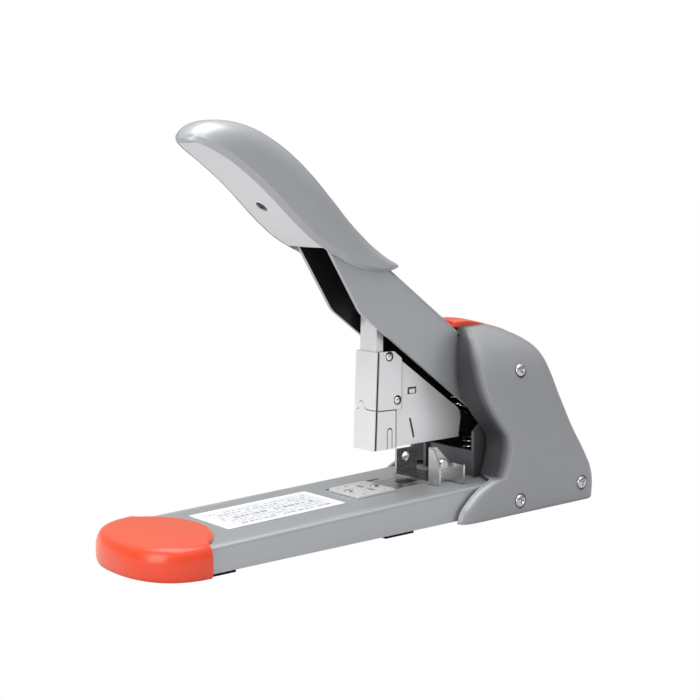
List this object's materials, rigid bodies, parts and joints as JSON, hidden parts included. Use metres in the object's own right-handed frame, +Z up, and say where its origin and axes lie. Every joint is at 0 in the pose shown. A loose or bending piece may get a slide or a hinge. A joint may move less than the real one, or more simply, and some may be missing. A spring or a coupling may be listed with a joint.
{
  "type": "heavy-duty lever stapler",
  "caption": "Heavy-duty lever stapler: long raised handle, sheet-metal head and magazine over a steel base, orange nose cap, rear cover shells and a sliding paper stop.",
  "frame": {"origin": "centre of the bounding box in X and Y, at the bottom of the feet", "axes": "+X from the nose to the rear cover, +Y across to the right-hand side as seen from behind, +Z up"},
  "size_m": [0.2762, 0.0784, 0.1962],
  "materials": {
    "silver_paint": "satin silver-grey paint",
    "grey_plastic": "satin metallic grey plastic",
    "orange_plastic": "satin orange plastic",
    "pale_plastic": "pale grey plastic",
    "nickel": "bright nickel plate",
    "dark_steel": "dark steel",
    "spring_steel": "bright steel",
    "rubber": "black rubber",
    "label_stock": "pale plastic film"
  },
  "bodies": {
    "stand": {"anvil_plate": "nickel", "anvil_rivet_front": "nickel", "anvil_rivet_rear": "nickel", "base_bottom_plate": "dark_steel", "base_channel": "silver_paint", "capacity_label": "label_stock", "cover_left": "grey_plastic", "cover_right": "grey_plastic", "cover_screw_front_left": "spring_steel", "cover_screw_front_right": "spring_steel", "cover_screw_rear_left": "spring_steel", "cover_screw_rear_right": "spring_steel", "cover_screw_upper_left": "spring_steel", "cover_screw_upper_right": "spring_steel", "foot_front_left": "rubber", "foot_front_right": "rubber", "foot_middle_left": "rubber", "foot_middle_right": "rubber", "foot_rear_left": "rubber", "foot_rear_right": "rubber", "frame_left": "dark_steel", "frame_right": "dark_steel", "frame_rivet_front_left": "dark_steel", "frame_rivet_front_right": "dark_steel", "frame_rivet_rear_left": "dark_steel", "frame_rivet_rear_right": "dark_steel", "frame_web": "dark_steel", "front_cap": "orange_plastic", "handle_bush_left": "pale_plastic", "handle_bush_right": "pale_plastic", "handle_pivot_pin": "spring_steel", "head_bush_left": "pale_plastic", "head_bush_right": "pale_plastic", "head_pivot_pin": "spring_steel", "head_spring": "spring_steel", "top_spine": "orange_plastic"},
    "handle": {"lever_arm": "silver_paint", "grip_shell": "grey_plastic", "grip_plate": "pale_plastic", "grip_screw": "spring_steel", "driver_pin": "spring_steel"},
    "head": {"head_side_left": "nickel", "head_side_right": "nickel", "front_guard": "nickel", "guard_rivet_top_left": "nickel", "guard_rivet_top_right": "nickel", "guard_rivet_low_left": "nickel", "guard_rivet_low_right": "nickel", "head_yoke": "dark_steel", "handle_spring": "spring_steel"},
    "driver": {"driver_block": "nickel", "driver_blade": "spring_steel"},
    "magazine": {"magazine_nose": "nickel", "magazine_rail": "nickel", "staple_strip": "nickel", "pusher_spring": "spring_steel"},
    "pusher": {"pusher": "dark_steel"},
    "stop": {"paper_stop": "nickel"},
    "stop_screw": {"stop_clamp_screw": "nickel"}
  },
  "joints": [
    {"name": "handle_press", "type": "hinge", "parent": "stand", "child": "handle", "pos_m": [0.09425, 0, 0.0502], "axis": [0, -1, 0], "range_deg": [0, 30], "stiffness_Nm_per_rad": 1.2, "springref_deg": -20.05, "deforming": ["handle_spring"]},
    {"name": "head_close", "type": "hinge", "parent": "stand", "child": "head", "pos_m": [0.11125, 0, 0.0336], "axis": [0, -1, 0], "range_deg": [0, 10], "stiffness_Nm_per_rad": 0.6, "springref_deg": -11.46, "deforming": ["head_spring"]},
    {"name": "driver_drop", "type": "slide", "parent": "head", "child": "driver", "axis": [-0.0401, 0, -0.9992], "range_m": [0, 0.0248]},
    {"name": "magazine_slide", "type": "slide", "parent": "head", "child": "magazine", "axis": [1, 0, 0], "range_m": [-0.04, 0]},
    {"name": "pusher_slide", "type": "slide", "parent": "magazine", "child": "pusher", "axis": [1, 0, 0], "range_m": [0, 0.021], "stiffness_N_per_m": 60, "springref_m": -0.015},
    {"name": "stop_slide", "type": "slide", "parent": "stand", "child": "stop", "axis": [0.9997, 0, 0.0234], "range_m": [-0.012, 0.009]},
    {"name": "stop_screw_turn", "type": "hinge", "parent": "stop", "child": "stop_screw", "pos_m": [0.04425, -0.014, 0.02707], "axis": [0, -1, 0], "range_deg": [-180, 180]}
  ],
  "couplings": [
    {"joint": "head_close", "follows": "handle_press", "ratio": 0.33},
    {"joint": "driver_drop", "follows": "handle_press", "m_per_rad": 0.046696}
  ]
}
